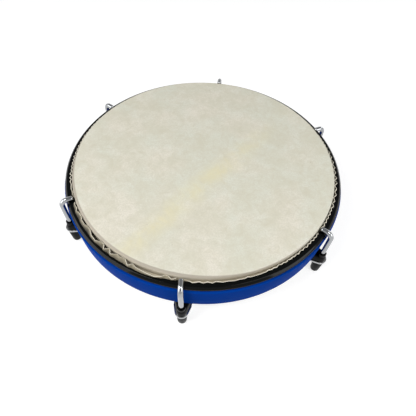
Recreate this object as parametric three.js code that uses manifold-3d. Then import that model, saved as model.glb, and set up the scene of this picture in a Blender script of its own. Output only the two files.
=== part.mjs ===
// Hand drum: a natural skin on a plastic shell with a bearing ring, pulled down by six hook bolts.
// Millimetres, +Z up. The origin is on the drum's axis, level with the ends of the tuning nuts.
import * as THREE from 'three';
import { mergeVertices } from 'three/addons/utils/BufferGeometryUtils.js';
import Module from 'manifold-3d';

const wasm = await Module();
wasm.setup();

// Fits shared by the whole drum
const seatGap = 0.3; // between pieces that rest on each other
const boreClearance = 0.35; // round a rod or a screw in its hole
const cutOverrun = 1;
const weldDistance = 0.0001;

// Head skin and flesh hoop
const bearingRadius = 150.2; // outside of the ring that the skin bears on
const skinThickness = 0.8;
const shoulderRadius = 3.9; // of the skin's fold over the bearing ring
const fleshHoopWidth = 4.1;
const fleshHoopHeight = 3.4;
const collarSlot = 0.5; // between the shoulder and the collar
const collarRise = 4.6; // of the collar above the fold round the flesh hoop
const headRise = 5.5; // of the playing face above the tension hoop

// Tension hoop
const hoopWidth = 7.4;
const hoopHeight = 4.8;
const hoopEdge = 1.5; // corner cut of its section
const hoopPlay = 0.4; // inside the hoop, to the collar
const hoopTravel = 1.5; // left under the hoop and under the folded skin

// Shell and bearing ring
const wallHeight = 30.5; // outside wall, from the bottom edge to the rim
const wallThickness = 8.4;
const wallDraft = 1.7; // the wall is this much narrower at the bottom
const rimThickness = 4.4;
const rimEdge = 0.9;
const channelPlay = 0.7; // between the folded skin and the rim
const bearingWidth = 5;
const flangeThickness = 1.8; // of the bearing ring's flange, which lies in the wall's channel
const spigotDepth = 5; // of the bearing ring's foot, below the channel

// Hook bolts
const stations = 6;
const rodRadius = 2.75;
const legOffset = 4.1; // from the shell's rim to the leg's axis
const hookBend = 7;
const tipInset = 0.4; // of the arm's tip past the hoop's inside
const threadEngagement = 14;

// Lugs
const plateThickness = 2.2;
const blockHeight = 6.9;
const lugWidth = 18.6;
const noseRadius = 7.3;
const blockEdge = 1; // of the plate past the block's foot
const blockDraft = 1.6; // of the block's flanks, from its foot to its top
const blockInset = 6.9; // of the block under the shell's bottom edge
const collarRadius = 4.3;
const collarHeight = 4.1;
const legClearance = 2; // above the plate's upright leg
const screwSpacing = 10.5;
const screwRiseShare = 0.6; // of the plate's height inside the shell

// Screws
const screwRadius = 1.5;
const screwHeadRadius = 3.2;
const screwHeadHeight = 2;
const screwHeadEdge = 0.5;
const screwPoint = 1.4;
const screwBite = 4.8; // into the shell's wall

// Tuning nuts
const nutHeight = 22.7;
const nutTopRadius = 6.3;
const nutEndRadius = 5;
const nutEndRound = 3;
const nutTopEdge = 0.6;
const nutBoreSpare = 5.5; // below the end of the hook's leg

// Facets
const ringSegments = 60;
const rodSides = 12;
const nutSides = 16;
const bendSteps = 6;
const foldSteps = 4;
const facetShare = Math.cos(Math.PI / ringSegments);

// Heights, from the nut ends up
const plateBottom = nutHeight + seatGap;
const plateTop = plateBottom + plateThickness;
const blockBottom = plateTop + seatGap;
const blockTop = blockBottom + blockHeight;
const shellBottom = blockTop + seatGap;
const rimTop = shellBottom + wallHeight;
const hoopBottom = rimTop + hoopTravel;
const hoopTop = hoopBottom + hoopHeight;
const armHeight = hoopTop + seatGap + rodRadius;
const headHeight = hoopTop + headRise;
const legEnd = nutHeight - threadEngagement;
const foldTop = hoopBottom - seatGap;
const pocketTop = foldTop - skinThickness;
const pocketBottom = pocketTop - fleshHoopHeight - 2 * seatGap;
const foldBottom = pocketBottom - skinThickness;
const flangeTop = foldBottom - hoopTravel;
const flangeBottom = flangeTop - flangeThickness;
const channelBottom = flangeBottom - seatGap;
const ringBottom = channelBottom - spigotDepth;
const plateLegTop = ringBottom - legClearance;
const screwHeight = shellBottom + screwRiseShare * (plateLegTop - shellBottom);

// Radii, from the bearing ring out
const skinInside = bearingRadius + seatGap;
const skinOutside = skinInside + skinThickness;
const fleshInside = skinOutside + seatGap;
const fleshOutside = fleshInside + fleshHoopWidth;
const foldInside = fleshOutside + seatGap;
const foldOutside = foldInside + skinThickness;
const collarInside = skinOutside + collarSlot;
const collarOutside = collarInside + skinThickness;
const hoopInside = collarOutside + hoopPlay;
const hoopOutside = hoopInside + hoopWidth;
const rimInside = foldOutside + channelPlay;
const shellRadius = rimInside + rimThickness;
const bottomRadius = shellRadius - wallDraft;
const wallInside = bottomRadius - wallThickness;
const legRadius = shellRadius + legOffset;
const tipRadius = hoopInside - tipInset;

// The plate's upright leg is flat, so its edges meet the round wall first.
const legFace = Math.sqrt((wallInside * facetShare) ** 2 - (lugWidth / 2) ** 2) - seatGap;
const legBack = legFace - plateThickness;

const materials = {
  shell: new THREE.MeshStandardMaterial({ color: 0x1c4aa6, roughness: 0.4, metalness: 0 }),
  skin: new THREE.MeshStandardMaterial({ color: 0xdedac6, roughness: 0.75, metalness: 0 }),
  fleshHoop: new THREE.MeshStandardMaterial({ color: 0xb08d5c, roughness: 0.7, metalness: 0 }),
  hoop: new THREE.MeshStandardMaterial({ color: 0x101211, roughness: 0.25, metalness: 0 }),
  chrome: new THREE.MeshStandardMaterial({ color: 0xd2d4d6, roughness: 0.12, metalness: 1 }),
  block: new THREE.MeshStandardMaterial({ color: 0x0e0f10, roughness: 0.45, metalness: 0 }),
  nut: new THREE.MeshStandardMaterial({ color: 0x141516, roughness: 0.35, metalness: 0.2 }),
  screw: new THREE.MeshStandardMaterial({ color: 0xa9abad, roughness: 0.35, metalness: 1 }),
};

// Keeps positions only, joins shared vertices and drops triangles that have no area.
function welded(geometry) {
  const bare = geometry.clone();
  bare.deleteAttribute('normal');
  bare.deleteAttribute('uv');
  const merged = mergeVertices(bare, weldDistance);
  const kept = [];
  for (let i = 0; i < merged.index.count; i += 3) {
    const corners = [0, 1, 2].map((j) => merged.index.getX(i + j));
    if (new Set(corners).size === 3) kept.push(...corners);
  }
  merged.setIndex(kept);
  return merged;
}

function toSolid(geometry) {
  const closed = welded(geometry);
  return new wasm.Manifold(new wasm.Mesh({
    numProp: 3,
    vertProperties: new Float32Array(closed.attributes.position.array),
    triVerts: new Uint32Array(closed.index.array),
  }));
}

function toGeometry(solid) {
  const mesh = solid.getMesh();
  const geometry = new THREE.BufferGeometry();
  geometry.setAttribute('position', new THREE.BufferAttribute(new Float32Array(mesh.vertProperties), 3));
  geometry.setIndex(new THREE.BufferAttribute(new Uint32Array(mesh.triVerts), 1));
  return geometry;
}

function named(name, geometry, material) {
  const mesh = new THREE.Mesh(geometry, material);
  mesh.name = name;
  return mesh;
}

// Turns a closed outline of [radius, height] points about the Z axis.
function turned(outline, segments) {
  const points = outline.map(([radius, height]) => new THREE.Vector2(radius, height));
  return welded(new THREE.LatheGeometry(points, segments).rotateX(Math.PI / 2));
}

// A closed section that doesn't reach the axis ends on its first point.
function ring(section) {
  return turned([...section, section[0]], ringSegments);
}

// Points of an arc in the [radius, height] plane, both ends included.
function arc(radius, height, size, from, to, steps) {
  return Array.from({ length: steps + 1 }, (_, i) => {
    const angle = from + ((to - from) * i) / steps;
    return [radius + size * Math.cos(angle), height + size * Math.sin(angle)];
  });
}

// A rod along Z, centred at its place in a station's frame.
function pin(radius, length, x, y, z, sides) {
  return new THREE.CylinderGeometry(radius, radius, length, sides)
    .rotateX(Math.PI / 2)
    .translate(x, y, z);
}

// Drafted outside wall, with a channel in its top for the bearing ring's flange and the folded skin.
function shell() {
  const body = toSolid(ring([
    [wallInside, shellBottom],
    [bottomRadius, shellBottom],
    [shellRadius, rimTop - rimEdge],
    [shellRadius - rimEdge, rimTop],
    [rimInside, rimTop],
    [rimInside, channelBottom],
    [wallInside, channelBottom],
  ]));
  const pilotLength = wallInside - legFace + screwBite + boreClearance + cutOverrun;
  const pilotMiddle = legFace - cutOverrun + pilotLength / 2;
  return stationAngles().reduce((solid, angle) => [-1, 1].reduce((rest, side) => {
    const pilot = pin(screwRadius + boreClearance, pilotLength, 0, 0, 0, rodSides)
      .rotateY(Math.PI / 2)
      .translate(pilotMiddle, (side * screwSpacing) / 2, screwHeight)
      .rotateZ(angle);
    return rest.subtract(toSolid(pilot));
  }, solid), body);
}

// Ring that the skin bears on, pressed into the wall down to its flange.
function bearingRing() {
  const crestRadius = shoulderRadius - skinThickness - seatGap;
  const bearingTop = headHeight - skinThickness - seatGap;
  const bearingInside = bearingRadius - bearingWidth;
  const crest = bearingRadius - crestRadius;
  const spigotRadius = wallInside - seatGap;
  return ring([
    [bearingInside, ringBottom],
    [spigotRadius, ringBottom],
    [spigotRadius, flangeBottom],
    [rimInside - seatGap, flangeBottom],
    [rimInside - seatGap, flangeTop],
    [bearingRadius, flangeTop],
    ...arc(crest, bearingTop - crestRadius, crestRadius, 0, Math.PI / 2, foldSteps),
    [bearingInside, bearingTop - (crest - bearingInside)],
  ]);
}

// Flat playing face, shoulder, fold round the flesh hoop and upstanding collar, in one skin.
function headSkin() {
  const turn = skinOutside - shoulderRadius;
  const turnHeight = headHeight - shoulderRadius;
  const outside = arc(turn, turnHeight, shoulderRadius, Math.PI / 2, 0, foldSteps);
  const inside = arc(turn, turnHeight, shoulderRadius - skinThickness, 0, Math.PI / 2, foldSteps);
  return turned([
    [0, headHeight],
    ...outside,
    [skinOutside, pocketBottom],
    [foldInside, pocketBottom],
    [foldInside, pocketTop],
    [collarInside, pocketTop],
    [collarInside, foldTop + collarRise],
    [collarOutside, foldTop + collarRise],
    [collarOutside, foldTop],
    [foldOutside, foldTop],
    [foldOutside, foldBottom],
    [skinInside, foldBottom],
    ...inside,
    [0, headHeight - skinThickness],
  ].reverse(), ringSegments);
}

function fleshHoop() {
  const top = pocketTop - seatGap;
  const bottom = top - fleshHoopHeight;
  return ring([
    [fleshInside, bottom],
    [fleshOutside, bottom],
    [fleshOutside, top],
    [fleshInside, top],
  ]);
}

function tensionHoop() {
  return ring([
    [hoopInside + hoopEdge, hoopBottom],
    [hoopOutside - hoopEdge, hoopBottom],
    [hoopOutside, hoopBottom + hoopEdge],
    [hoopOutside, hoopTop - hoopEdge],
    [hoopOutside - hoopEdge, hoopTop],
    [hoopInside + hoopEdge, hoopTop],
    [hoopInside, hoopTop - hoopEdge],
    [hoopInside, hoopBottom + hoopEdge],
  ]);
}

// Axis of a hook bolt: arm, quarter bend and leg, with most of its steps in the bend.
class HookAxis extends THREE.Curve {
  getPoint(t) {
    const step = t * (bendSteps + 2);
    const bendStart = new THREE.Vector3(legRadius - hookBend, 0, armHeight);
    const bendEnd = new THREE.Vector3(legRadius, 0, armHeight - hookBend);
    if (step < 1) return new THREE.Vector3(tipRadius, 0, armHeight).lerp(bendStart, step);
    if (step > bendSteps + 1) {
      return bendEnd.lerp(new THREE.Vector3(legRadius, 0, legEnd), step - bendSteps - 1);
    }
    const angle = ((step - 1) / bendSteps) * (Math.PI / 2);
    return new THREE.Vector3(
      legRadius - hookBend + hookBend * Math.sin(angle),
      0,
      armHeight - hookBend + hookBend * Math.cos(angle),
    );
  }

  getPointAt(u) {
    return this.getPoint(u);
  }

  getTangentAt(u, target) {
    return this.getTangent(u, target);
  }
}

function hookBolt() {
  const section = new THREE.Shape().absarc(0, 0, rodRadius, 0, 2 * Math.PI);
  return welded(new THREE.ExtrudeGeometry(section, {
    extrudePath: new HookAxis(),
    steps: bendSteps + 2,
    curveSegments: rodSides / 2,
  }));
}

// Lug outline from above: as wide as the lug at the shell, drawn in to a nose round the leg, and
// inset all round but at its inner end.
function lugOutline(innerEnd, inset = 0) {
  const half = lugWidth / 2 - inset;
  const nose = noseRadius - inset;
  const reach = Math.hypot(legRadius - bottomRadius, half);
  const noseAngle = Math.atan2(half, bottomRadius - legRadius) - Math.acos(nose / reach);
  return new THREE.Shape()
    .moveTo(innerEnd, -half)
    .lineTo(bottomRadius, -half)
    .absarc(legRadius, 0, nose, -noseAngle, noseAngle)
    .lineTo(bottomRadius, half)
    .lineTo(innerEnd, half)
    .closePath();
}

function extruded(outline, depth, height) {
  return new THREE.ExtrudeGeometry(outline, {
    depth,
    bevelEnabled: false,
    curveSegments: rodSides / 2,
  }).translate(0, 0, height);
}

function rodHole(bottom, top) {
  const length = top - bottom + 2 * cutOverrun;
  return toSolid(pin(rodRadius + boreClearance, length, legRadius, 0, (bottom + top) / 2, rodSides));
}

// Prism whose top face has a second outline, with as many points as its foot's.
function drafted(foot, head, depth, height) {
  const body = extruded(foot, depth, height);
  const footPoints = foot.getPoints(rodSides / 2);
  const headPoints = head.getPoints(rodSides / 2);
  const position = body.getAttribute('position');
  for (let i = 0; i < position.count; i += 1) {
    if (position.getZ(i) > height + depth / 2) {
      const corner = new THREE.Vector2(position.getX(i), position.getY(i));
      const nearest = footPoints.reduce(
        (best, point, k) => (point.distanceTo(corner) < footPoints[best].distanceTo(corner) ? k : best),
        0,
      );
      position.setXY(i, headPoints[nearest].x, headPoints[nearest].y);
    }
  }
  return body;
}

// Drafted spacer between the plate and the shell's bottom edge, with a low collar round the leg.
function lugBlock() {
  const innerEnd = bottomRadius - blockInset;
  const foot = lugOutline(innerEnd, blockEdge);
  const head = lugOutline(innerEnd, blockEdge + blockDraft);
  const body = drafted(foot, head, blockHeight, blockBottom);
  const collarTop = blockTop + collarHeight;
  const collar = pin(
    collarRadius,
    collarTop - blockBottom,
    legRadius,
    0,
    (collarTop + blockBottom) / 2,
    nutSides,
  );
  return toGeometry(toSolid(body).add(toSolid(collar)).subtract(rodHole(blockBottom, collarTop)));
}

// Chromed angle: a flat tab under the block and an upright leg against the inside of the wall.
function lugPlate() {
  const upright = new THREE.BoxGeometry(plateThickness, lugWidth, plateLegTop - plateBottom)
    .translate((legFace + legBack) / 2, 0, (plateLegTop + plateBottom) / 2);
  const tab = extruded(lugOutline(legBack), plateThickness, plateBottom);
  const plate = toSolid(tab).add(toSolid(upright)).subtract(rodHole(plateBottom, plateTop));
  const drilled = [-1, 1].reduce((solid, side) => {
    const hole = pin(screwRadius + boreClearance, plateThickness + 2 * cutOverrun, 0, 0, 0, rodSides)
      .rotateY(Math.PI / 2)
      .translate((legFace + legBack) / 2, (side * screwSpacing) / 2, screwHeight);
    return solid.subtract(toSolid(hole));
  }, plate);
  return toGeometry(drilled);
}

// Pan-head screw, its head inside the drum and its point in the wall.
function lugScrew(side) {
  const headStart = legBack - seatGap - screwHeadHeight;
  const length = wallInside + screwBite - headStart;
  const outline = [
    [0, 0],
    [screwHeadRadius - screwHeadEdge, 0],
    [screwHeadRadius, screwHeadEdge],
    [screwHeadRadius, screwHeadHeight],
    [screwRadius, screwHeadHeight],
    [screwRadius, length - screwPoint],
    [0, length],
  ];
  return turned(outline, rodSides)
    .rotateY(Math.PI / 2)
    .translate(headStart, (side * screwSpacing) / 2, screwHeight);
}

// Barrel nut with a round end, which is also one of the drum's feet.
function tuningNut() {
  const bore = rodRadius + boreClearance;
  return turned([
    [0, 0],
    ...arc(nutEndRadius - nutEndRound, nutEndRound, nutEndRound, -Math.PI / 2, 0, foldSteps),
    [nutTopRadius, nutHeight - nutTopEdge],
    [nutTopRadius - nutTopEdge, nutHeight],
    [bore, nutHeight],
    [bore, legEnd - nutBoreSpare],
    [0, legEnd - nutBoreSpare],
  ], nutSides).translate(legRadius, 0, 0);
}

// Station 1 is at the front, on -Y, and the rest follow anticlockwise from above.
function stationAngles() {
  return Array.from({ length: stations }, (_, i) => -Math.PI / 2 + (i * 2 * Math.PI) / stations);
}

const drum = new THREE.Group();
drum.add(
  named('shell', toGeometry(shell()), materials.shell),
  named('bearing_ring', bearingRing(), materials.shell),
  named('head_skin', headSkin(), materials.skin),
  named('flesh_hoop', fleshHoop(), materials.fleshHoop),
  named('tension_hoop', tensionHoop(), materials.hoop),
);

stationAngles().forEach((angle, i) => {
  const number = i + 1;
  const station = new THREE.Group();
  station.rotation.z = angle;
  station.add(
    named(`hook_bolt_${number}`, hookBolt(), materials.chrome),
    named(`lug_plate_${number}`, lugPlate(), materials.chrome),
    named(`lug_block_${number}`, lugBlock(), materials.block),
    named(`lug_screw_${number}a`, lugScrew(-1), materials.screw),
    named(`lug_screw_${number}b`, lugScrew(1), materials.screw),
    named(`tuning_nut_${number}`, tuningNut(), materials.nut),
  );
  drum.add(station);
});

export default drum;
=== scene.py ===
# Hand drum: a natural skin over a blue shell, pulled down by six chromed hook bolts.
import functools
import math
import random

import bmesh
import bpy
from mathutils import Matrix, Vector


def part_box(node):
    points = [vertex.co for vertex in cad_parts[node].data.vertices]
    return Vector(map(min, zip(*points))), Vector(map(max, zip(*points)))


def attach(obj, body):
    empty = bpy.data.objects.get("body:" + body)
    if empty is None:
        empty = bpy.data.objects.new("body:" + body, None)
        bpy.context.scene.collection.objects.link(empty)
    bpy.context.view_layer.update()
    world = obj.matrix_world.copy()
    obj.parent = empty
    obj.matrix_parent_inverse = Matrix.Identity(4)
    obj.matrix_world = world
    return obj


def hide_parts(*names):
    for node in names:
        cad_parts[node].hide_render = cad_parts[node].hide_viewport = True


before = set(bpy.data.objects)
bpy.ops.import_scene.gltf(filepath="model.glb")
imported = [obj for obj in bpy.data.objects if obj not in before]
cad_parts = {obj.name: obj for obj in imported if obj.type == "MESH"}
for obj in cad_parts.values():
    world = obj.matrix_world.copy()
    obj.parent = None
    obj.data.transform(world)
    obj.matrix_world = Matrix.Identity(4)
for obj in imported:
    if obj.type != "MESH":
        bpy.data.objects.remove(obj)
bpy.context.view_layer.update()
mm = 0.001

# Shell: the drafted blue wall. Injection-moulded plastic in a satin finish, with a channel in its top
# that takes the bearing ring's flange and the folded skin. Every edge leaves the mould with a small
# round, and the screws of the lugs bite into it from the inside.
shell_low, shell_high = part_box("shell")
shell_radius = shell_high.x
shell_bottom = shell_low.z
rim_top = shell_high.z
wall_draft = 1.7 * mm
wall_thickness = 8.4 * mm
rim_thickness = 4.4 * mm
channel_depth = 8 * mm
wall_round = 0.8 * mm
round_steps = 5
turned_segments = 288
bottom_radius = shell_radius - wall_draft
wall_inside = bottom_radius - wall_thickness
rim_inside = shell_radius - rim_thickness
arc_share = 0.48  # most of an edge that the arc at its end may take
seam_distance = 0.002 * mm  # points closer than this are one
crease_angle = math.radians(32)  # between two faces, past which their edge stays sharp


def linear(colour):
    """Linear RGBA of an sRGB hex colour such as "1c4aa6"."""
    shares = [int(colour[i:i + 2], 16) / 255 for i in (0, 2, 4)]
    return [s / 12.92 if s <= 0.04045 else ((s + 0.055) / 1.055) ** 2.4 for s in shares] + [1.0]


def feed(node, inputs):
    """Sets inputs, by name or number, to a value, an output, or the first live output of a node."""
    for socket, value in inputs.items():
        if isinstance(value, bpy.types.Node):
            value = next(output for output in value.outputs if output.enabled)
        if isinstance(value, bpy.types.NodeSocket):
            node.id_data.links.new(value, node.inputs[socket])
        else:
            node.inputs[socket].default_value = value


def add_node(tree, kind, inputs=None, **settings):
    """One node with its settings and its inputs."""
    node = tree.nodes.new(kind)
    for setting, value in settings.items():
        setattr(node, setting, value)
    feed(node, inputs or {})
    return node


def computed(add, operation, *values):
    """What a Math node makes of the values."""
    return add("ShaderNodeMath", dict(enumerate(values)), operation=operation)


def emptied(tree):
    """Clears a tree and gives its own add_node."""
    tree.nodes.clear()
    return functools.partial(add_node, tree)


def new_object(name, data):
    """An object of the scene that holds the data."""
    piece = bpy.data.objects.new(name, data)
    bpy.context.scene.collection.objects.link(piece)
    return piece


def new_material(name):
    """A material, its own add_node, its shader and the object's coordinates in millimetres."""
    material = bpy.data.materials.new(name)
    material.use_nodes = True
    add = emptied(material.node_tree)
    place = add("ShaderNodeTexCoord").outputs["Object"]
    in_mm = add("ShaderNodeVectorMath", {0: place, "Scale": 1 / mm}, operation="SCALE")
    shader = add("ShaderNodeBsdfPrincipled")
    add("ShaderNodeOutputMaterial", {"Surface": shader})
    return material, add, shader, in_mm


def rounded(outline, radius, sharp=(), steps=round_steps):
    """A closed outline whose corners, except those numbered in sharp, are arcs of one or several radii."""
    radii = radius if isinstance(radius, list) else [radius] * len(outline)
    smooth = []
    for i, corner in enumerate(outline):
        corner = Vector(corner)
        before = Vector(outline[i - 1]) - corner
        after = Vector(outline[(i + 1) % len(outline)]) - corner
        if i in sharp:
            smooth.append(tuple(corner))
            continue
        half = before.angle(after) / 2
        reach = min(radii[i] / math.tan(half), arc_share * before.length, arc_share * after.length)
        start = corner + before.normalized() * reach
        end = corner + after.normalized() * reach
        for step in range(steps + 1):
            share = step / steps
            smooth.append(tuple(start.lerp(corner, share).lerp(corner.lerp(end, share), share)))
    return smooth


def outline_object(name, points, closed=True):
    """An object whose mesh is one line through points of [radius, height]."""
    corners = [(radius, 0, height) for radius, height in points]
    if closed:
        corners.append(corners[0])
    mesh = bpy.data.meshes.new(name)
    mesh.from_pydata(corners, [(i, i + 1) for i in range(len(corners) - 1)], [])
    return new_object(name, mesh)


def new_tree(name, sizes):
    """A Geometry Nodes tree with a named input for each size: its own add_node and its inputs."""
    tree = bpy.data.node_groups.new(name, "GeometryNodeTree")
    tree.interface.new_socket("Geometry", in_out="INPUT", socket_type="NodeSocketGeometry")
    for size, kind in sizes.items():
        tree.interface.new_socket(size, in_out="INPUT", socket_type="NodeSocket" + kind)
    tree.interface.new_socket("Geometry", in_out="OUTPUT", socket_type="NodeSocketGeometry")
    add = emptied(tree)
    return add, add("NodeGroupInput").outputs


def end_tree(add, given, geometry):
    """Realizes the instances, sets the material, and gives the ended tree."""
    real = add("GeometryNodeRealizeInstances", {0: geometry})
    dressed = add("GeometryNodeSetMaterial", {0: real, "Material": given["Material"]})
    return add("NodeGroupOutput", {0: dressed}).id_data


# Turns the outline about the Z axis: one grid row for each of its points, one column for each step.
add, given = new_tree("turned", {"Segments": "Int", "Axis offset": "Float", "Material": "Material"})
outline_size = add("GeometryNodeAttributeDomainSize", {0: given["Geometry"]})
columns = computed(add, "ADD", given["Segments"], 1.0)
row_count = outline_size.outputs["Point Count"]
lattice = add("GeometryNodeMeshGrid", {"Vertices X": columns, "Vertices Y": row_count})
number = add("GeometryNodeInputIndex")
row = computed(add, "MODULO", number, row_count)
column_part = computed(add, "DIVIDE", number, row_count)
column = computed(add, "FLOOR", column_part)
step_angle = computed(add, "DIVIDE", math.tau, given["Segments"])
turn = computed(add, "MULTIPLY", column, step_angle)
outline_place = add("GeometryNodeInputPosition")
picked = add("GeometryNodeSampleIndex", {
    0: given["Geometry"], "Value": outline_place, "Index": row}, data_type="FLOAT_VECTOR")
swung = add("ShaderNodeVectorRotate", {"Vector": picked, "Angle": turn}, rotation_type="Z_AXIS")
spread = add("GeometryNodeSetPosition", {0: lattice, "Position": swung})
joined = add("GeometryNodeMergeByDistance", {0: spread, "Distance": seam_distance})
offset = add("ShaderNodeCombineXYZ", {0: given["Axis offset"]})
moved = add("GeometryNodeTransform", {0: joined, "Translation": offset})
turned_tree = end_tree(add, given, moved)


def add_stage(piece, tree, **sizes):
    """Adds a Geometry Nodes modifier and sets its inputs by their sockets' identifiers."""
    stage = piece.modifiers.new(tree.name, "NODES")
    stage.node_group = tree
    for socket in tree.interface.items_tree:
        size = socket.name.replace(" ", "_").lower()
        if socket.in_out == "INPUT" and size in sizes:
            stage[socket.identifier] = sizes[size]


def evaluated_mesh(piece):
    """A plain mesh of the piece as its modifiers leave it."""
    bpy.context.view_layer.update()
    evaluated = piece.evaluated_get(bpy.context.evaluated_depsgraph_get())
    return bpy.data.meshes.new_from_object(evaluated)


def face_outwards(mesh, merge_distance=0.0):
    """Turns all faces outwards, once the points closer than merge_distance are one."""
    work = bmesh.new()
    work.from_mesh(mesh)
    if merge_distance:
        bmesh.ops.remove_doubles(work, verts=work.verts, dist=merge_distance)
    bmesh.ops.recalc_face_normals(work, faces=work.faces)
    work.to_mesh(mesh)
    work.free()


def finished(piece, name):
    """A plain object of the evaluated piece, closed, facing outwards and smooth between its edges."""
    mesh = evaluated_mesh(piece)
    face_outwards(mesh, seam_distance)
    for polygon in mesh.polygons:
        polygon.use_smooth = True
    mesh.set_sharp_from_angle(angle=crease_angle)
    mesh.name = name
    bpy.data.objects.remove(piece)
    return new_object(name, mesh)


def turned_piece(name, outline, material, segments=turned_segments, closed=True):
    """A piece turned about the drum's axis from an outline, which is closed unless told otherwise."""
    piece = outline_object(name + "_outline", outline, closed)
    add_stage(piece, turned_tree, segments=segments, material=material)
    return finished(piece, name)


def mixed(add, share, first, second):
    """A colour between two, each a node or an sRGB hex colour."""
    first, second = (linear(colour) if isinstance(colour, str) else colour for colour in (first, second))
    return add("ShaderNodeMix", {0: share, 6: first, 7: second}, data_type="RGBA")


def mottle(add, place, size, detail, dark, pale):
    """A noise of the given size in millimetres, and the colour that it mixes from two."""
    noise = add("ShaderNodeTexNoise", {"Vector": place, "Scale": 1 / size, "Detail": detail})
    return noise, mixed(add, noise, dark, pale)


# Moulded plastic with colour all through: an even deep blue with a broad soft shine, and a very fine
# grain from the mould.
blue_plastic, add, shader, place = new_material("moulded_blue_plastic")
grain_size = 1.1  # mm, drawn coarser than the real 0.1 mm
grain_depth = 0.1 * mm
cloud_size = 70.0  # mm, of the slow change in depth
blue = mottle(add, place, cloud_size, 2.0, "043994", "06419f")[1]
grain = add("ShaderNodeTexNoise", {"Vector": place, "Scale": 1 / grain_size, "Detail": 3.0})
grain_bump = add("ShaderNodeBump", {"Height": grain, "Strength": 0.05, "Distance": grain_depth})
feed(shader, {"Base Color": blue, "Normal": grain_bump, "Roughness": 0.4, "IOR": 1.025})

shell = turned_piece("shell_wall", rounded([
    (wall_inside, shell_bottom),
    (bottom_radius, shell_bottom),
    (shell_radius, rim_top),
    (rim_inside, rim_top),
    (rim_inside, rim_top - channel_depth),
    (wall_inside, rim_top - channel_depth),
], wall_round), blue_plastic)
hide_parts("shell")
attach(shell, "drum_body")

# Bearing ring: the round crest that the skin is stretched over. Moulded in the shell's plastic and
# pressed into the wall down to its flange.
ring_low, ring_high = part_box("bearing_ring")
bearing_width = 5 * mm
flange_radius = ring_high.x
flange_width = 7 * mm
flange_height = 7.1 * mm
flange_thickness = 1.8 * mm
spigot_play = 0.3 * mm
crest_radius = 2.6 * mm
inner_corner = ((1.2, 0.5), (0.3, 1.4), (0, 2.6))  # mm out from the inside and down from the crest
ring_round = 0.5 * mm
bearing_radius = flange_radius - flange_width
bearing_inside = bearing_radius - bearing_width
spigot_radius = wall_inside - spigot_play
ring_bottom = ring_low.z
ring_crest = ring_high.z
flange_top = ring_bottom + flange_height
flange_bottom = flange_top - flange_thickness
crest_centre = (bearing_radius - crest_radius, ring_crest - crest_radius)


def arc(centre, radius, start, end, step):
    """Points of an arc between two angles, in degrees that turn from outwards to upwards."""
    angles = [math.radians(a) for a in range(start, end + step // abs(step), step)]
    return [(centre[0] + radius * math.cos(a), centre[1] + radius * math.sin(a)) for a in angles]


bearing_ring = turned_piece("bearing_ring_moulding", rounded([
    (bearing_inside, ring_bottom),
    (spigot_radius, ring_bottom),
    (spigot_radius, flange_bottom),
    (flange_radius, flange_bottom),
    (flange_radius, flange_top),
    (bearing_radius, flange_top),
], ring_round) + arc(crest_centre, crest_radius, 0, 90, 10) + [
    (bearing_inside + out * mm, ring_crest - down * mm) for out, down in inner_corner
], blue_plastic)
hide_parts("bearing_ring")
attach(bearing_ring, "drum_body")

# Flesh hoop: a hoop of steamed and bent beech that the wet skin is folded round. It stays hidden in
# the fold. The wood is a warm brown, with fine lines of grain along the hoop.
flesh_low, flesh_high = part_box("flesh_hoop")
flesh_width = 4.1 * mm
flesh_round = 0.9 * mm
wood_grain = 0.6  # mm between the lines of the grain
grain_run = 25  # times as long along the hoop as up its side
hoop_wood, add, shader, place = new_material("bent_beech")
stretched = add("ShaderNodeMapping", {"Vector": place, "Scale": (1 / grain_run, 1 / grain_run, 1)})
wood_colour = mottle(add, stretched, wood_grain, 4.0, "8f6b42", "c39c6a")[1]
feed(shader, {"Base Color": wood_colour, "Roughness": 0.7})
flesh_hoop = turned_piece("flesh_hoop_wood", rounded([
    (flesh_high.x - flesh_width, flesh_low.z),
    (flesh_high.x, flesh_low.z),
    (flesh_high.x, flesh_high.z),
    (flesh_high.x - flesh_width, flesh_high.z),
], flesh_round), hoop_wood)
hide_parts("flesh_hoop")
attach(flesh_hoop, "drum_body")

# Head: one natural goatskin, mounted wet and dried tight. It runs flat over the drum, down over the
# bearing ring, round the flesh hoop and up again inside the tension hoop. There its cut edge is free
# and gathered, because the outside of a flat skin is longer than the hoop that it is folded round.
head_low, head_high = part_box("head_skin")
head_top = head_high.z
skin_thickness = 0.8 * mm
skin_outside = 151.3 * mm
shoulder_radius = 1.9 * mm
shoulder_wear = 1.7 * mm
fold_height = 4 * mm
fold_round = 0.9 * mm
layer_gap = 0.5 * mm  # from the wall of the head to the layer that goes up again outside it
free_depth = 1.6 * mm  # below the hoop's top, where that layer comes free
pocket_bottom = head_low.z + skin_thickness
fold_inside = head_high.x - skin_thickness
pocket_top = pocket_bottom + fold_height
collar_radius = skin_outside + layer_gap
hoop_low, hoop_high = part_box("tension_hoop")
free_start = hoop_high.z - free_depth

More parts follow.
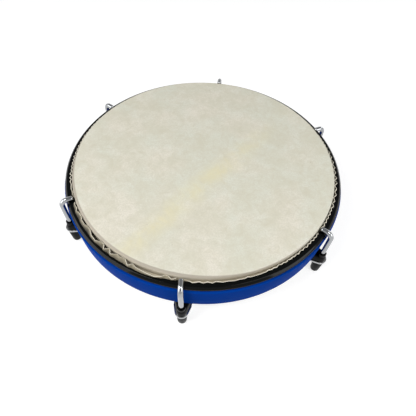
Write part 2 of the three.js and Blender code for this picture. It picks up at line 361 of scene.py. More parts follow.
# Single pleats of the cut edge, as degrees round the drum from its front and the edge's distance from
# the drum's axis in millimetres.
pleats = [
    (-68, 152.9), (-65.5, 153.4), (-63, 152.6), (-61, 153.5), (-59, 152.5), (-56, 153.6), (-54.5, 153.1),
    (-53, 154.2), (-50.3, 151.7), (-48, 153.8), (-45.5, 153.9), (-42.6, 152.2), (-39.6, 154.6),
    (-36.6, 155.1), (-33.3, 151.9), (-31.6, 155.5), (-30, 152.4), (-28.3, 155.4), (-26, 153.0),
    (-24.6, 153.6), (-22.8, 152.3), (-20.3, 155.8), (-19, 153.6), (-17, 154.9), (-13.6, 155.5),
    (-10, 156.0), (-7.8, 154.8), (-5.8, 151.6), (-3.8, 154.8), (-2.1, 152.4), (0, 152.2), (1.4, 153.6),
    (2.6, 153.6), (3.5, 155.1), (5.9, 153.1), (7.4, 154.9), (8.7, 152.9), (10.4, 155.1), (11.7, 152.6),
    (14, 154.7), (16.2, 154.0), (18.1, 154.8), (20, 154.1), (22, 154.6), (23.2, 152.9), (24.2, 154.5),
    (27, 154.5), (30, 154.4), (31.4, 153.1), (32.4, 154.3), (33.6, 153.2),
]
# Beyond them the edge is a closer zigzag, deeper at the drum's right side than behind. Its steps are
# in degrees, and its outer and inner corners in millimetres from the axis.
zigzag_seed = 12
zigzag_end = 290
deep_start = 72
deep_end = 106
deep_steps = (1.3, 1.9)
deep_outer = (154.5, 155.3)
even_steps = (0.9, 1.25)
even_outer = (153.7, 154.6)
zigzag_inner = (151.9, 152.8)
zigzag = random.Random(zigzag_seed)
while pleats[-1][0] < zigzag_end:
    deep = deep_start < pleats[-1][0] < deep_end
    steps = deep_steps if deep else even_steps
    outer = zigzag.uniform(*(deep_outer if deep else even_outer))
    pleats.append((pleats[-1][0] + zigzag.uniform(*steps), outer))
    pleats.append((pleats[-1][0] + zigzag.uniform(*steps), zigzag.uniform(*zigzag_inner)))
pleats.pop()

# The sheet's columns: the corners of the pleats, with short steps between them.
front = -90  # degrees, of the drum's front from its right side
longest_step = 0.42  # degrees
skin_columns = []
corners = pleats + [(pleats[0][0] + 360, pleats[0][1])]
for (start, near), (end, far) in zip(corners, corners[1:]):
    steps = max(1, math.ceil((end - start) / longest_step))
    for step in range(steps):
        share = step / steps
        skin_columns.append((start + (end - start) * share, (near + (far - near) * share) * mm))

stations = 6  # of the hooks and lugs round the drum
station_gap = 360 / stations
pressed_reach = 2.5  # degrees to each side of a hook's arm
pressed_run = 1.1  # degrees in which the edge comes up again


def near_station(angle):
    """1 where the skin is pressed in under a hook's arm, 0 clear of it."""
    away = abs((angle + station_gap / 2) % station_gap - station_gap / 2)
    share = min(max((pressed_reach - away) / pressed_run, 0), 1)
    return share * share * (3 - 2 * share)


def swell(angle, centre, half_width):
    """1 at a centre angle, falling smoothly to 0 at half_width degrees from it."""
    away = abs((angle - centre + 180) % 360 - 180) / half_width
    return 0.0 if away >= 1 else (1 - away * away) ** 2


def curve_through(points, steps):
    """Points of a smooth line through a list of [radius, height], steps to a stretch."""
    padded = [points[0]] + points + [points[-1]]
    line = []
    for before, start, end, after in zip(padded, padded[1:], padded[2:], padded[3:]):
        for step in range(steps):
            t = step / steps
            line.append(tuple(
                0.5 * (2 * q + (r - p) * t + (2 * p - 5 * q + 4 * r - s) * t * t
                       + (3 * q - p - 3 * r + s) * t * t * t)
                for p, q, r, s in zip(before, start, end, after)))
    return line + [points[-1]]


flat_rings = (40, 80, 115, 140)  # mm from the axis, rows of the flat face
worn_span = (-35, 60)  # degrees: the middle of the worn shoulder and the reach to each side
bend_steps = 9
turn_height = head_top - shoulder_radius - shoulder_wear
flat_part = [(radius * mm, head_top) for radius in flat_rings]


def shoulder_part(angle):
    """The round turn over the bearing ring in one column, wider where it is worn at the front left."""
    turn = shoulder_radius + shoulder_wear * swell(angle, *worn_span)
    steps = [math.pi / 2 * step / bend_steps for step in range(bend_steps + 1)]
    return [(skin_outside - turn * (1 - math.sin(bend)), head_top - turn * (1 - math.cos(bend)))
            for bend in steps]


fold_part = rounded([
    (skin_outside, turn_height),
    (skin_outside, pocket_bottom),
    (fold_inside, pocket_bottom),
    (fold_inside, pocket_top),
    (collar_radius, pocket_top),
    (collar_radius, free_start),
], fold_round, sharp=(0, 5), steps=3)

# Three ways that the free edge stands, each as five points of radius in millimetres, height above the
# hoop's top in millimetres, and the share of its pleats' depth that the point takes.
middle_edge = 153.9  # mm from the axis
edge_gap = 0.3 * mm  # from the wall of the head at least
standing_span = (-33, 40)
lying_span = (28, 42)
full_part = 1.6  # so that an edge is fully standing or lying over the middle of its span
pressed_depth = 0.7 * mm  # below the hoop's top, under an arm
edge_steps = 3
behind_edge = ((151.9, -0.9, 0), (152.4, -0.2, 0), (152.8, 0.3, 0.35), (153.1, 1.0, 0.7), (153.4, 1.8, 1))
lying_edge = ((152.0, -0.4, 0), (152.3, 0.3, 0), (152.8, 0.7, 0.25), (153.2, 1.0, 0.5), (153.4, 1.2, 0.7))
standing_edge = ((152.3, -0.5, 0), (154.4, -0.1, 0), (155.1, 0.5, 0.4), (154.2, 2.1, 1.0), (153.0, 3.7, 1.5))


def collar_part(angle, edge):
    """The free edge in one column: upright at the front left, over the hoop at the front right."""
    pressed = near_station(angle)
    stands = min(1, full_part * swell(angle, *standing_span))
    lies = min(1, full_part * swell(angle, *lying_span))
    wave = edge - middle_edge * mm
    line = [(collar_radius, free_start)]
    for behind, lying, standing in zip(behind_edge, lying_edge, standing_edge):
        radius, height, depth = (
            b + (u - b) * stands + (l - b) * lies for b, l, u in zip(behind, lying, standing))
        radius = max(radius * mm + wave * depth, skin_outside + edge_gap)
        height = hoop_high.z + height * mm
        line.append((radius + (collar_radius - radius) * pressed,
                     min(height, height + (hoop_high.z - pressed_depth - height) * pressed)))
    return curve_through(line, edge_steps)[1:]


skin_vertices = [(0, 0, head_top)]
for angle, edge in skin_columns:
    profile = flat_part + shoulder_part(angle) + fold_part + collar_part(angle, edge)
    bearing = math.radians(front + angle)
    skin_vertices += [(r * math.cos(bearing), r * math.sin(bearing), z) for r, z in profile]
rows_of_skin = len(profile)
skin_faces = []
for i in range(len(skin_columns)):
    here = 1 + i * rows_of_skin
    beside = 1 + (i + 1) % len(skin_columns) * rows_of_skin
    skin_faces.append((0, here, beside))
    for j in range(rows_of_skin - 1):
        skin_faces.append((here + j, here + j + 1, beside + j + 1, beside + j))
skin_mesh = bpy.data.meshes.new("head_skin_sheet")
skin_mesh.from_pydata(skin_vertices, [], skin_faces)
skin_sheet = new_object("head_skin_sheet", skin_mesh)
thick = skin_sheet.modifiers.new("thickness", "SOLIDIFY")
thick.thickness = skin_thickness
thick.offset = -1
thick.use_even_offset = False
thick.material_offset_rim = 1

# Scraped and dried goatskin: cream and matt, mottled with olive stains and flecks, with a yellow band
# where the spine ran and a few dark pores. Along its shoulder it is rubbed grey, most of all at the front
# left. That strip is partly wear and partly painted shade, and a painted fill light makes it paler low down.
# Its free edge is coloured with painted shade, darkest low on its standing part at the front left and
# over the drum's right side, and with painted light low on its lying part.
goatskin, add, shader, place = new_material("dried_goatskin")
patch_size = 55.0  # mm, of the cream's own clouds
fibre_size = 1.6  # mm, drawn coarser than the real 0.3 mm grain
fibre_depth = 0.2 * mm
pore_spacing = 14.0  # mm
pore_radius = 0.05  # of the spacing
band_angle = math.radians(56)
band_offset = 17.0  # mm
band_wave = 16.0  # mm, to one side of its straight line
band_wave_size = 60.0  # mm
band_width = 21.0  # mm, to each side
band_patch_size = 22.0  # mm, of its stronger and weaker parts
band_fade_start = 20.0  # mm along it
band_fade_end = 110.0
# Where the shoulder's strip of wear and painted shade lies: its side, and how far in from the wall it starts
# there and elsewhere.
wear_and_shade_direction = (-0.574, -0.819, 0.0)  # the front left
wear_and_shade_least = 1.1  # mm in from the wall of the head, on the other sides
wear_and_shade_most = 3.4  # mm, on the worn side
wear_and_shade_run = 1.0  # mm, in which the wear comes on
wall_place = skin_outside / mm
head_place = head_top / mm
hoop_place = hoop_high.z / mm
patches = add("ShaderNodeTexNoise", {"Vector": place, "Scale": 1 / patch_size, "Detail": 4.0})
patch_share = add("ShaderNodeMapRange", {"Value": patches, "From Min": 0.4, "From Max": 0.6})
mottled = mixed(add, patch_share, "e3e4d6", "ece7d9")

# Stains, flecks and fibres, each with its size in millimetres, the detail, roughness and distortion of
# its noise, the noise at which it starts and is full, its greatest share, and its colour.
for size, detail, roughness, distortion, start, full, most, colour in (
        (24.0, 6.0, 0.6, 0.5, 0.42, 0.68, 0.75, "d9d6c2"),
        (9.0, 6.0, 0.65, 0.8, 0.42, 0.7, 0.7, "d4cfb9"),
        (fibre_size, 3.0, 0.5, 0.0, 0.35, 0.65, 0.55, "d4d0bf")):
    marks = add("ShaderNodeTexNoise", {
        "Vector": place, "Scale": 1 / size, "Detail": detail, "Roughness": roughness,
        "Distortion": distortion})
    mark_share = add("ShaderNodeMapRange", {
        "Value": marks, "From Min": start, "From Max": full, "To Max": most})
    mottled = mixed(add, mark_share, mottled, colour)

# The yellow band, which wanders and fades towards the far side.
band_turn = add("ShaderNodeMapping", {"Vector": place, "Rotation": (0, 0, -band_angle)})
band_axes = add("ShaderNodeSeparateXYZ", {0: band_turn}).outputs
band_noise = add("ShaderNodeTexNoise", {"Vector": place, "Scale": 1 / band_wave_size, "Detail": 2.0})
band_wander = computed(add, "MULTIPLY_ADD", band_noise, band_wave, band_offset)
band_place = computed(add, "ADD", band_axes["Y"], band_wander)
band_away = computed(add, "ABSOLUTE", band_place)
band_share = add("ShaderNodeMapRange", {
    "Value": band_away, "From Min": 0.0, "From Max": band_width, "To Min": 0.85, "To Max": 0.0},
    interpolation_type="SMOOTHSTEP")
band_patches = add("ShaderNodeTexNoise", {
    "Vector": place, "Scale": 1 / band_patch_size, "Detail": 6.0, "Roughness": 0.65, "Distortion": 0.6})
band_strength = add("ShaderNodeMapRange", {"Value": band_patches, "From Min": 0.3, "From Max": 0.75})
band_end = add("ShaderNodeMapRange", {
    "Value": band_axes["X"], "From Min": band_fade_start, "From Max": band_fade_end,
    "To Min": 1.0, "To Max": 0.15})
band_fade = computed(add, "MULTIPLY", band_strength, band_end)
band_amount = computed(add, "MULTIPLY", band_share, band_fade)
banded = mixed(add, band_amount, mottled, "e6deb6")

# Shares of the other colours, each with the place it is read from, where it starts and ends there in
# millimetres, and the share at both.
axes = add("ShaderNodeSeparateXYZ", {0: place}).outputs
flat_place = add("ShaderNodeCombineXYZ", {0: axes["X"], 1: axes["Y"]})
from_axis = add("ShaderNodeVectorMath", {0: flat_place}, operation="LENGTH")
shares = {
    # The first two shares go to the shoulder's strip. It grows paler low down, which is a painted fill
    # light, and its wear and painted shade grow weaker towards the right.
    "turned down": (axes["Z"], head_place - 0.7, head_place - 1.8, 0.0, 1.0),
    "less wear and shade": (axes["X"], 80.0, 125.0, 1.0, 0.35),
    # The next four shares grade the free edge's colour by height and side, as painted shade and painted
    # light.
    "standing": (axes["Z"], hoop_place + 0.4, hoop_place + 3.7, 0.0, 1.0),
    "lying": (axes["Z"], hoop_place, hoop_place + 0.8, 0.0, 1.0),
    "left": (axes["X"], -20.0, -100.0, 0.0, 1.0),
    "dark": (axes["X"], 85.0, 125.0, 0.0, 0.9),
    "past the wall": (from_axis, wall_place + 0.1, wall_place + 0.4, 0.0, 1.0),
}
for name, (source, start, end, start_share, end_share) in shares.items():
    shares[name] = add("ShaderNodeMapRange", {
        "Value": source, "From Min": start, "From Max": end, "To Min": start_share, "To Max": end_share})

# The strip over the bearing ring, strongest at the front left, is partly wear and partly painted shade. Low
# on the shoulder its colour is paler: a painted fill light where the standing edge keeps light off.
outward = add("ShaderNodeVectorMath", {0: flat_place}, operation="NORMALIZE")
wear_and_shade_side = add("ShaderNodeVectorMath", {0: outward, 1: wear_and_shade_direction}, operation="DOT_PRODUCT")
wear_and_shade_start = add("ShaderNodeMapRange", {
    "Value": wear_and_shade_side, "From Min": 0.5, "From Max": 0.85,
    "To Min": wall_place - wear_and_shade_least, "To Max": wall_place - wear_and_shade_most})
past_start = computed(add, "SUBTRACT", from_axis, wear_and_shade_start)
wear_and_shade_share = add("ShaderNodeMapRange", {
    "Value": past_start, "From Min": 0.0, "From Max": wear_and_shade_run, "To Min": 0.0, "To Max": 0.9})
wear_shade_and_fill_colour = mixed(add, shares["turned down"], "a89f91", "bfb6a4")
wear_and_shade_amount = computed(add, "MULTIPLY", wear_and_shade_share, shares["less wear and shade"])
wear_and_shade_mix = mixed(add, wear_and_shade_amount, banded, wear_shade_and_fill_colour)
# The free edge carries painted shade low on its standing part at the front left, growing towards the left
# side. It carries painted light low on its lying part at the front right, and painted shade over the drum's
# right side, where its pleats hold shade.
standing_painted_shade_share = computed(add, "MULTIPLY", shares["standing"], shares["standing"])
left_edge_painted_shade = mixed(add, standing_painted_shade_share, "2b271c", "968e79")
right_edge_painted_light = mixed(add, shares["lying"], "cbc1aa", "988f7a")
near_edge_painted_light = mixed(add, shares["left"], right_edge_painted_light, left_edge_painted_shade)
edge_painted_light_colour = mixed(add, shares["dark"], near_edge_painted_light, "332d1e")
folded = mixed(add, shares["past the wall"], wear_and_shade_mix, edge_painted_light_colour)
pores = add("ShaderNodeTexVoronoi", {"Vector": place, "Scale": 1 / pore_spacing})
pore_share = add("ShaderNodeMapRange", {
    "Value": pores, "From Min": pore_radius / 2, "From Max": pore_radius,
    "To Min": 0.45, "To Max": 0.0})
skin_colour = mixed(add, pore_share, folded, "a3967c")
fibres = add("ShaderNodeTexNoise", {"Vector": place, "Scale": 1 / fibre_size, "Detail": 4.0})
fibre_bump = add("ShaderNodeBump", {"Height": fibres, "Strength": 0.12, "Distance": fibre_depth})
feed(shader, {
    "Base Color": skin_colour, "Normal": fibre_bump, "Roughness": 0.62, "Specular IOR Level": 0.3})

# The knife's cut through the dried skin, paler than its faces.
cut_skin, add, shader, place = new_material("cut_goatskin")
cut_colour = mottle(add, place, fibre_size, 4.0, "ded6c3", "eee8d8")[1]
feed(shader, {"Base Color": cut_colour, "Roughness": 0.8})

skin_mesh.materials.append(goatskin)
skin_mesh.materials.append(cut_skin)
head_skin = finished(skin_sheet, "head_goatskin")
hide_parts("head_skin")
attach(head_skin, "drum_body")

# Tension hoop: a steel ring that presses the folded skin down round the bearing ring. Rolled with
# round edges and enamelled black: a deep gloss that mirrors the lamps, a little uneven in its coat.
hoop_width = 7.4 * mm
hoop_round = 1.9 * mm
hoop_outer_round = 1.2 * mm
hoop_side = 2.3 * mm
hoop_slope = 2.3 * mm
hoop_radius = hoop_high.x
enamel_wave = 9.0  # mm, of the slight unevenness of the coat
enamel_depth = 0.3 * mm
black_enamel, add, shader, place = new_material("glossy_black_enamel")
waves, enamel_colour = mottle(add, place, enamel_wave, 2.0, "040606", "070909")
wave_bump = add("ShaderNodeBump", {"Height": waves, "Strength": 0.08, "Distance": enamel_depth})
feed(shader, {"Base Color": enamel_colour, "Normal": wave_bump, "Roughness": 0.12, "IOR": 1.22})
tension_hoop = turned_piece("tension_hoop_enamelled", rounded([
    (hoop_radius - hoop_width, hoop_low.z),
    (hoop_radius, hoop_low.z),
    (hoop_radius, hoop_low.z + hoop_side),
    (hoop_radius - hoop_slope, hoop_high.z),
    (hoop_radius - hoop_width, hoop_high.z),
], [hoop_round, hoop_outer_round, hoop_outer_round, hoop_outer_round, hoop_round]), black_enamel)
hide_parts("tension_hoop")
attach(tension_hoop, "drum_body")

# Lug plates: six angles bent from chromed steel strip. The flat tab under the block carries the
# hook's pull, and the upright leg is screwed to the inside of the wall.
leg_distance = 4.1 * mm  # from the wall to the middle of a hook's leg
leg_radius = shell_radius + leg_distance
plate_low, plate_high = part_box("lug_plate_1")
plate_thickness = 2.2 * mm
lug_width = 18.6 * mm
nose_radius = 7.3 * mm
plate_bottom = plate_low.z
leg_back = -plate_high.y
leg_top = plate_high.z
bend_radius = 1.4 * mm
plate_edge = 0.35 * mm
rod_radius = 2.75 * mm
rod_play = 0.35 * mm
rod_hole = rod_radius + rod_play
screw_hole = 1.85 * mm
screw_share = 0.6  # of the way from the shell's bottom edge to the plate's top
screw_height = shell_bottom + screw_share * (leg_top - shell_bottom)
screw_spacing = 10.5 * mm
edge_angle = 40  # degrees; sharper corners are rounded
overrun = 1 * mm  # of a cutting tool past the piece
hole_sides = 32
nose_steps = 24

# Sets copies of a piece round the drum, each turned to its own station.
add, given = new_tree("round_the_drum", {
    "Count": "Int", "First angle": "Float", "Step angle": "Float", "Material": "Material"})
centres = add("GeometryNodePoints", {"Count": given["Count"]})
station = add("GeometryNodeInputIndex")
station_turn = computed(add, "MULTIPLY_ADD", station, given["Step angle"], given["First angle"])
station_euler = add("ShaderNodeCombineXYZ", {2: station_turn})
station_rotation = add("FunctionNodeEulerToRotation", {0: station_euler})
copies = add("GeometryNodeInstanceOnPoints", {
    "Points": centres, "Instance": given["Geometry"], "Rotation": station_rotation})
round_tree = end_tree(add, given, copies)


def prism(name, outline, low, high, upright=False, top_outline=None):
    """A closed prism of an outline in XY from low to high in Z, or in XZ along Y when upright."""
    def at(u, v, w):
        return (u, w, v) if upright else (u, v, w)
    count = len(outline)
    corners = [at(u, v, low) for u, v in outline] + [at(u, v, high) for u, v in top_outline or outline]
    faces = [tuple(range(count))[::-1], tuple(range(count, 2 * count))]
    faces += [(i, (i + 1) % count, count + (i + 1) % count, count + i) for i in range(count)]
    mesh = bpy.data.meshes.new(name)
    mesh.from_pydata(corners, [], faces)
    face_outwards(mesh)
    return new_object(name, mesh)


def circle(x, y, radius, sides=hole_sides):
    """Points of a circle."""
    return [(x + radius * math.cos(math.tau * i / sides), y + radius * math.sin(math.tau * i / sides))
            for i in range(sides)]


def cut(piece, tool, operation):
    """Cuts a piece with a tool or joins the tool to it, and removes the tool."""
    step = piece.modifiers.new(operation, "BOOLEAN")
    step.operation = operation
    step.solver = "EXACT"
    step.object = tool
    result = evaluated_mesh(piece)
    piece.modifiers.remove(step)
    piece.data = result
    bpy.data.objects.remove(tool)


def lug_outline(inner_end, inset=0.0):
    """The lug from above: straight sides from inner_end, drawn in to a round nose about the hook's leg."""
    half = lug_width / 2 - inset
    nose_inset = nose_radius - inset
    reach = math.hypot(leg_radius - bottom_radius, half)
    nose_angle = math.atan2(half, bottom_radius - leg_radius) - math.acos(nose_inset / reach)
    angles = [nose_angle * (2 * i / nose_steps - 1) for i in range(nose_steps + 1)]
    nose = [(leg_radius + nose_inset * math.cos(a), nose_inset * math.sin(a)) for a in angles]
    return [(inner_end, -half), (bottom_radius, -half)] + nose + [(bottom_radius, half), (inner_end, half)]


def bevelled(piece, width, angle=edge_angle):
    """A live bevel on the piece's corners."""
    bevel = piece.modifiers.new("edge", "BEVEL")
    bevel.width = width
    bevel.segments = 3
    bevel.limit_method = "ANGLE"
    bevel.angle_limit = math.radians(angle)


def at_stations(piece, name, material, first=1, count=stations):
    """Copies of a piece at count stations from the first one on, as one plain mesh."""
    step_angle = math.tau / stations
    first_angle = math.radians(front) + (first - 1) * step_angle
    add_stage(piece, round_tree, count=count, first_angle=first_angle, step_angle=step_angle,
              material=material)
    return finished(piece, name)


def numbered(node):
    """The names of one node at all six stations."""
    return [f"{node}_{k}" for k in range(1, stations + 1)]


# Bright chrome plate over nickel: almost a mirror, with the faint haze of a stamped strip.
haze_size = 5.0  # mm
plate_chrome, add, shader, place = new_material("chromed_steel_strip")
haze = add("ShaderNodeTexNoise", {"Vector": place, "Scale": 1 / haze_size, "Detail": 3.0})
haze_roughness = add("ShaderNodeMapRange", {"Value": haze, "To Min": 0.1, "To Max": 0.2})
feed(shader, {"Base Color": linear("b4b5b6"), "Metallic": 1.0, "Roughness": haze_roughness})

outer_bend = bend_radius + plate_thickness
bend_centre = (leg_back + outer_bend, plate_bottom + outer_bend)
plate_top = plate_bottom + plate_thickness
nose_end = leg_radius + nose_radius + overrun
plate_side = [(leg_back + plate_thickness, leg_top)] + arc(bend_centre, bend_radius, 180, 270, 15) + [
    (nose_end, plate_top), (nose_end, plate_bottom)]
plate_side += arc(bend_centre, outer_bend, 270, 180, -15) + [(leg_back, leg_top)]
plate = prism("lug_plate", plate_side, -lug_width / 2, lug_width / 2, upright=True)
nose_tool = prism("nose", lug_outline(leg_back - overrun), plate_bottom - overrun, leg_top + overrun)
cut(plate, nose_tool, "INTERSECT")
rod_tool = prism("rod_hole", circle(leg_radius, 0, rod_hole), plate_bottom - overrun, plate_top + overrun)
cut(plate, rod_tool, "DIFFERENCE")
for side in (-1, 1):
    drill = prism("drill", circle(side * screw_spacing / 2, screw_height, screw_hole),
                  leg_back - overrun, leg_back + plate_thickness + overrun)
    for corner in drill.data.vertices:
        y, z, x = corner.co
        corner.co = (x, y, z)
    cut(plate, drill, "DIFFERENCE")
bevelled(plate, plate_edge)
lug_plates = at_stations(plate, "lug_plates", plate_chrome)
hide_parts(*numbered("lug_plate"))
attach(lug_plates, "drum_body")

# Lug blocks: black moulded spacers between the plates and the shell's bottom edge, each with a boss
# round the hook's leg. Their plastic is smoother and shinier than the shell's, and their edges soft.
block_play = 0.3 * mm
block_height = 6.9 * mm
block_reach = 6.9 * mm  # inwards from the wall's bottom edge
block_edge = 1.0 * mm
block_draft = 1.6 * mm
block_round = 1.0 * mm
boss_height = 4.1 * mm
boss_radius = 4.3 * mm
boss_sides = 48
hole_edge = 0.35 * mm
hole_angle = 50  # degrees, so that the block's first round stays
block_bottom = plate_top + block_play
block_top = block_bottom + block_height
boss_top = block_top + boss_height
black_plastic, add, shader, place = new_material("moulded_black_plastic")
moulding, block_colour = mottle(add, place, grain_size, 3.0, "070808", "0b0c0c")
moulding_bump = add("ShaderNodeBump", {"Height": moulding, "Strength": 0.08, "Distance": grain_depth})
feed(shader, {"Base Color": block_colour, "Normal": moulding_bump, "Roughness": 0.3, "IOR": 1.2})
block_back = bottom_radius - block_reach
block = prism("lug_block", lug_outline(block_back, block_edge), block_bottom, block_top,
              top_outline=lug_outline(block_back, block_edge + block_draft))
bevelled(block, block_round)
boss = prism("boss", circle(leg_radius, 0, boss_radius, boss_sides), block_bottom + overrun, boss_top)
cut(block, boss, "UNION")
block.modifiers.clear()
rod_tool = prism("rod_hole", circle(leg_radius, 0, rod_hole), block_bottom - overrun, boss_top + overrun)
cut(block, rod_tool, "DIFFERENCE")
bevelled(block, hole_edge, hole_angle)
lug_blocks = at_stations(block, "lug_blocks", black_plastic)
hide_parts(*numbered("lug_block"))
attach(lug_blocks, "drum_body")

# Lug screws: pan heads with a cross recess, two to a plate, driven from inside the drum into its wall.
# Zinc-plated steel: a plain grey metal, softly shining, with faint patches of tarnish.
screw_low, screw_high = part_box("lug_screw_1a")
screw_radius = 1.5 * mm
screw_head_radius = 3.2 * mm
screw_head_height = 2 * mm
dome_share = 0.55  # of the head's height
head_start = -screw_high.y
screw_length = screw_high.y - screw_low.y
screw_point = 1.4 * mm
recess_width = 0.9 * mm
recess_length = 3.4 * mm
recess_depth = 1.1 * mm
screw_sides = 32
tarnish_size = 2.5  # mm
zinc, add, shader, place = new_material("zinc_plated_steel")
zinc_colour = mottle(add, place, tarnish_size, 3.0, "a6a8a9", "c3c5c6")[1]
feed(shader, {"Base Color": zinc_colour, "Metallic": 1.0, "Roughness": 0.32})
screw_outline = [
    (screw_head_radius * across, screw_head_height * dome_share * (1 + up))
    for across, up in arc((0, 0), 1, -90, 0, 15)
] + [
    (screw_head_radius, screw_head_height),
    (screw_radius, screw_head_height),
    (screw_radius, screw_length - screw_point),
    (0, screw_length),
]
screw = turned_piece("screw", screw_outline, zinc, segments=screw_sides)
for wide, long in ((recess_width / 2, recess_length / 2), (recess_length / 2, recess_width / 2)):
    groove = [(-wide, -long), (wide, -long), (wide, long), (-wide, long)]
    cut(screw, prism("recess", groove, -overrun, recess_depth), "DIFFERENCE")

# The two screws of a plate lie side by side and point outwards.
pair = bmesh.new()
for side in (-1, 1):
    one = bmesh.new()
    one.from_mesh(screw.data)
    for corner in one.verts:
        x, y, z = corner.co
        corner.co = (head_start + z, y + side * screw_spacing / 2, screw_height - x)
    copy = bpy.data.meshes.new("copy")
    one.to_mesh(copy)
    one.free()
    pair.from_mesh(copy)
pair.to_mesh(screw.data)
pair.free()
lug_screws = at_stations(screw, "lug_screws", zinc)
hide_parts(*[screw_node + side for screw_node in numbered("lug_screw") for side in "ab"])
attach(lug_screws, "drum_body")

# Hook bolts: steel wire cut to length, bent over at the top, rounded at its tip, threaded at the
# other end and chromed. The arm lies on the tension hoop and its tip stops at the skin. The front
# one's arm has turned a little to the left as its nut was tightened.
hook_low, hook_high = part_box("hook_bolt_1")
arm_height = hook_high.z - rod_radius
leg_end = hook_low.z
tip_radius = -hook_high.y
hook_bend = 7 * mm
bend_points = 24
wire_sides = 28
wire_step = 0.25 * mm
tip_round = 2.2 * mm
thread_pitch = 1 * mm
thread_depth = 0.3 * mm
thread_length = 22 * mm
crest_share = 0.5  # of a turn from the thread's root to its crest
thread_top = leg_end + thread_length
tip_fullness = 1.02  # a little over 1, which leaves a small flat on the wire's end
arm_turns = (-6.5, 0, 0, 0, 0, 0)  # degrees of each arm about its leg

add, given = new_tree("hook_bolt", {
    "Wire radius": "Float", "Bend radius": "Float", "Tip round": "Float", "Thread top": "Float",
    "Thread pitch": "Float", "Thread depth": "Float", "Leg distance": "Float", "Material": "Material"})
wire = add("GeometryNodeMeshToCurve", {0: given["Geometry"]})
bent = add("GeometryNodeFilletCurve", {
    0: wire, "Radius": given["Bend radius"], "Count": bend_points}, mode="POLY")
stepped = add("GeometryNodeResampleCurve", {0: bent, "Length": wire_step}, mode="LENGTH")
run = add("GeometryNodeSplineParameter").outputs["Length"]
whole = add("GeometryNodeSplineLength").outputs["Length"]
rest = computed(add, "SUBTRACT", whole, run)
from_end = computed(add, "MINIMUM", run, rest)
end_share = add("ShaderNodeMapRange", {
    "Value": from_end, "From Min": 0.0, "From Max": given["Tip round"],
    "To Min": 1.0, "To Max": 0.0})
end_square = computed(add, "MULTIPLY", end_share, end_share)
end_left = computed(add, "SUBTRACT", tip_fullness, end_square)
end_root = computed(add, "SQRT", end_left)
wire_scale = computed(add, "MINIMUM", end_root, 1.0)
section = add("GeometryNodeCurvePrimitiveCircle", {
    "Resolution": wire_sides, "Radius": given["Wire radius"]})
rod = add("GeometryNodeCurveToMesh", {
    "Curve": stepped, "Profile Curve": section,
    "Scale": wire_scale, "Fill Caps": True})
rod_point = add("GeometryNodeInputPosition")
rod_place = add("ShaderNodeSeparateXYZ", {0: rod_point}).outputs
from_leg = computed(add, "SUBTRACT", rod_place["X"], given["Leg distance"])
leg_angle = computed(add, "ARCTAN2", rod_place["Y"], from_leg)
leg_turns = computed(add, "DIVIDE", leg_angle, math.tau)
pitch_turns = computed(add, "DIVIDE", rod_place["Z"], given["Thread pitch"])
thread_phase = computed(add, "SUBTRACT", pitch_turns, leg_turns)
thread_wave = computed(add, "PINGPONG", thread_phase, crest_share)
thread_cut = computed(add, "MULTIPLY", thread_wave, given["Thread depth"])
thread_sink = computed(add, "MULTIPLY", thread_cut, -1 / crest_share)
radial = add("ShaderNodeCombineXYZ", {0: from_leg, 1: rod_place["Y"], 2: 0.0})
outward = add("ShaderNodeVectorMath", {0: radial}, operation="NORMALIZE")
sink = add("ShaderNodeVectorMath", {0: outward, "Scale": thread_sink}, operation="SCALE")
in_thread = add("FunctionNodeCompare", {0: rod_place["Z"], 1: given["Thread top"]}, operation="LESS_THAN")
threaded = add("GeometryNodeSetPosition", {0: rod, "Selection": in_thread, "Offset": sink})
hook_tree = end_tree(add, given, threaded)

# Polished chrome on round wire: a full mirror that draws the room, the shell and the hoop into lines.
drawing_size = 3.0  # mm
bolt_chrome, add, shader, place = new_material("polished_chrome")
drawing = add("ShaderNodeTexNoise", {"Vector": place, "Scale": 1 / drawing_size, "Detail": 3.0})
drawing_roughness = add("ShaderNodeMapRange", {"Value": drawing, "To Min": 0.05, "To Max": 0.13})
feed(shader, {"Base Color": linear("a1a3a5"), "Metallic": 1.0, "Roughness": drawing_roughness})

arm_length = leg_radius - tip_radius
for k, arm_turn in enumerate(arm_turns, 1):
    wire_line = outline_object("hook_line", [
        (tip_radius, arm_height), (leg_radius, arm_height), (leg_radius, leg_end)], closed=False)
    wire_line.data.vertices[0].co.x = leg_radius - arm_length * math.cos(math.radians(arm_turn))
    wire_line.data.vertices[0].co.y = arm_length * math.sin(math.radians(arm_turn))
    add_stage(wire_line, hook_tree, wire_radius=rod_radius, bend_radius=hook_bend, tip_round=tip_round,
              thread_top=thread_top, thread_pitch=thread_pitch, thread_depth=thread_depth,
              leg_distance=leg_radius, material=bolt_chrome)
    hook = at_stations(wire_line, f"hook_{k}_chromed", bolt_chrome, first=k, count=1)
    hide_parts(f"hook_bolt_{k}")
    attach(hook, f"hook_{k}")

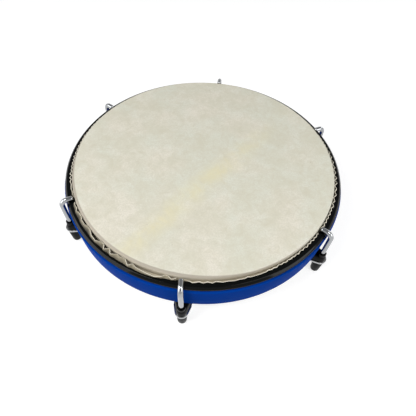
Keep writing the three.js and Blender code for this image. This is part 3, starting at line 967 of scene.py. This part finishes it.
# Tuning nuts: round tapered barrels with a closed round end that is also a foot. Turned steel in a
# satin black coat, which has a soft shine and a fine speckle.
nut_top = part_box("tuning_nut_1")[1].z
nut_top_radius = 6.3 * mm
nut_end_radius = 5.0 * mm
nut_end_round = 3.0 * mm
nut_edge = 0.6 * mm
edge_middle = 0.3  # of the edge's round, in and down
nut_segments = 48
bore_room = 5.5 * mm  # below the bolt's end
bore_end = leg_end - bore_room
speckle_size = 0.8  # mm
speckle_depth = 0.1 * mm
satin_black, add, shader, place = new_material("satin_black_coating")
speckle, nut_colour = mottle(add, place, speckle_size, 3.0, "101213", "16191a")
speckle_bump = add("ShaderNodeBump", {"Height": speckle, "Strength": 0.1, "Distance": speckle_depth})
feed(shader, {"Base Color": nut_colour, "Normal": speckle_bump, "Roughness": 0.36, "IOR": 1.2})
nut_outline = [(0, 0)] + arc((nut_end_radius - nut_end_round, nut_end_round), nut_end_round, -90, 0, 10) + [
    (nut_top_radius, nut_top - nut_edge),
    (nut_top_radius - nut_edge * edge_middle, nut_top - nut_edge * edge_middle),
    (nut_top_radius - nut_edge, nut_top),
    (rod_hole, nut_top),
    (rod_hole, bore_end),
    (0, bore_end),
]
for k in range(1, stations + 1):
    barrel = outline_object("nut_outline", nut_outline)
    add_stage(barrel, turned_tree, segments=nut_segments, axis_offset=leg_radius, material=satin_black)
    nut = at_stations(barrel, f"nut_{k}_black", satin_black, first=k, count=1)
    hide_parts(f"tuning_nut_{k}")
    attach(nut, f"nut_{k}")

# Studio: a white paper sweep all round, whose floor turns up into a wall, two soft boxes above the
# front, large ones at both sides and a small one at the right back. A plain pale room lights the rest.
sweep_radius = 4.0  # metres, as are the other sizes of the studio
sweep_turn = 1.0
wall_height = 3.2
sweep_segments = 96
sweep_glow = 0.72
white_paper = bpy.data.materials.new("white_paper_sweep")
white_paper.use_nodes = True
add = emptied(white_paper.node_tree)
paper = add("ShaderNodeBsdfDiffuse", {"Color": linear("b4b4b4")})
glow = add("ShaderNodeEmission", {"Color": (1, 1, 1, 1), "Strength": sweep_glow})
both = add("ShaderNodeAddShader", {0: paper, 1: glow})
rays = add("ShaderNodeLightPath").outputs
seen = computed(add, "MAXIMUM", rays["Is Camera Ray"], rays["Is Glossy Ray"])
seen_through = computed(add, "MAXIMUM", seen, rays["Is Transmission Ray"])
paper_shader = add("ShaderNodeMixShader", {0: seen_through, 1: paper, 2: both})
add("ShaderNodeOutputMaterial", {"Surface": paper_shader})
sweep_outline = [(0, 0), (sweep_radius, 0)] + arc((sweep_radius, sweep_turn), sweep_turn, -80, 0, 10)
sweep_outline.append((sweep_radius + sweep_turn, wall_height))
sweep = turned_piece("paper_sweep", sweep_outline, white_paper, segments=sweep_segments, closed=False)

room_light = 0.25
ceiling_light = 0.36  # as the chrome and the enamel mirror it
world = bpy.data.worlds.new("studio")
world.use_nodes = True
bpy.context.scene.world = world
add = emptied(world.node_tree)
ray = add("ShaderNodeLightPath").outputs
ceiling = add("ShaderNodeMapRange", {
    "Value": ray["Is Glossy Ray"], "To Min": room_light, "To Max": ceiling_light})
room = add("ShaderNodeBackground", {"Color": (1, 1, 1, 1), "Strength": ceiling})
add("ShaderNodeOutputWorld", {"Surface": room})

# Soft boxes, all facing the drum: place, width and height, and power in watts.
lamp_target = Vector((0, 0, 0.05))
for name, lamp_place, width, height, power in (
        ("upper_left", (-0.5, -0.45, 0.9), 0.4, 0.4, 4.4),
        ("upper_right", (0.5, -0.4, 0.9), 0.4, 0.4, 2.8),
        ("left_side", (-1.2, -0.6, 0.45), 1.3, 1.1, 12.0),
        ("right_side", (1.2, -0.5, 0.5), 0.8, 0.7, 6.0),
        ("right_back", (1.1, 1.0, 0.45), 0.3, 0.3, 2.5)):
    lamp = bpy.data.lights.new(name, "AREA")
    lamp.shape = "RECTANGLE"
    lamp.size = width
    lamp.size_y = height
    lamp.energy = power
    holder = new_object(name, lamp)
    holder.location = lamp_place
    holder.rotation_euler = (lamp_target - Vector(lamp_place)).to_track_quat("-Z", "Y").to_euler()

# Camera: close to the drum and looking down on it at 54 degrees, from a little to the right of its
# front hook, with a slight roll.
camera_lens = 31.55
sensor_width = 36.0
nearest = 10 * mm
farthest = 100.0
camera_pitch = math.radians(53.61)
camera_roll = math.radians(3.03)
camera_azimuth = math.radians(4.94)
camera_distance = 428.2 * mm
camera_right = 3.93 * mm
camera_up = -56.97 * mm
across = Vector((math.cos(camera_azimuth), math.sin(camera_azimuth), 0))
level = Vector((-math.sin(camera_azimuth), math.cos(camera_azimuth), 0))
ahead = level * math.cos(camera_pitch) - Vector((0, 0, math.sin(camera_pitch)))
above = level * math.sin(camera_pitch) + Vector((0, 0, math.cos(camera_pitch)))
right = across * math.cos(camera_roll) + above * math.sin(camera_roll)
up = above * math.cos(camera_roll) - across * math.sin(camera_roll)
lens = bpy.data.cameras.new("camera")
lens.lens = camera_lens
lens.sensor_width = sensor_width
lens.clip_start = nearest
lens.clip_end = farthest
camera = new_object("camera", lens)
camera.location = (Vector((0, 0, head_top)) + right * camera_right + up * camera_up
                   - ahead * camera_distance)
camera.rotation_mode = "QUATERNION"
camera.rotation_quaternion = Matrix((right, up, -ahead)).transposed().to_quaternion()
bpy.context.scene.camera = camera
bpy.context.scene.view_settings.view_transform = "Standard"
